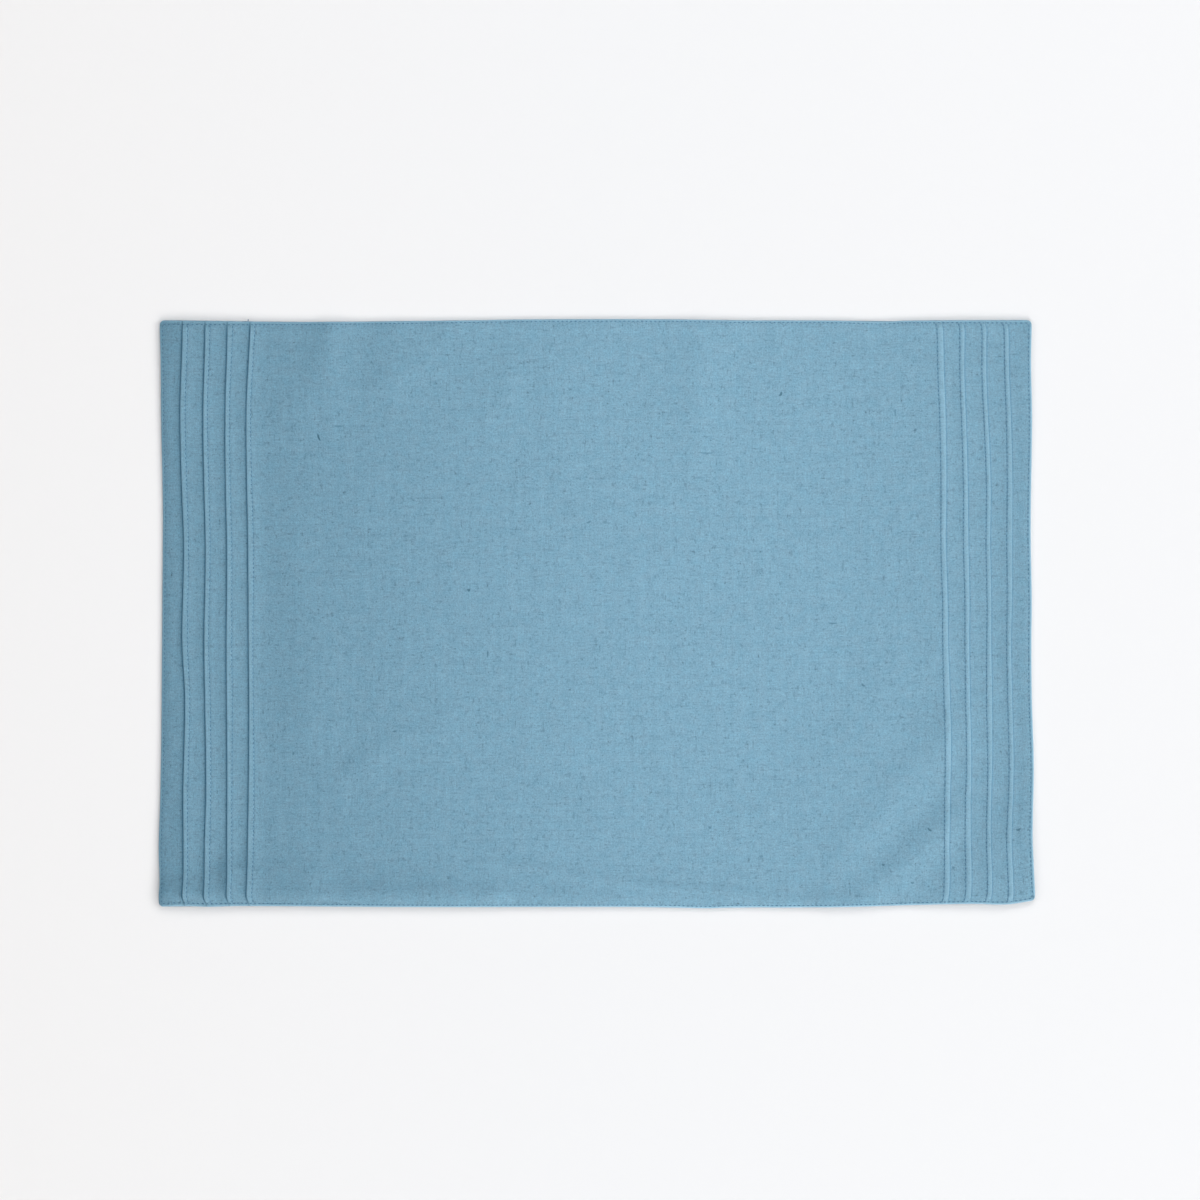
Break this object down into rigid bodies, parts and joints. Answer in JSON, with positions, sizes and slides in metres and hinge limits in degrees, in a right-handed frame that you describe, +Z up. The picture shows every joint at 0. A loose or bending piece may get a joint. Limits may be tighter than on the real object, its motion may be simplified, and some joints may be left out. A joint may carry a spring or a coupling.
{
  "type": "fabric placemat",
  "caption": "Rectangular cloth placemat lying flat, edge-stitched all round, with pin tucks across each short end.",
  "frame": {"origin": "middle of the bounding box's underside, on the surface that the mat lies on", "axes": "+X along the mat's long way, to the right as seen from above; +Y along its short way, away from the near edge; +Z up, out of the face"},
  "size_m": [0.485, 0.3264, 0.0039],
  "materials": {
    "cloth": "matte blue slubby plain weave, washed and pressed"
  },
  "bodies": {
    "root": {"placemat": "cloth"}
  },
  "joints": []
}
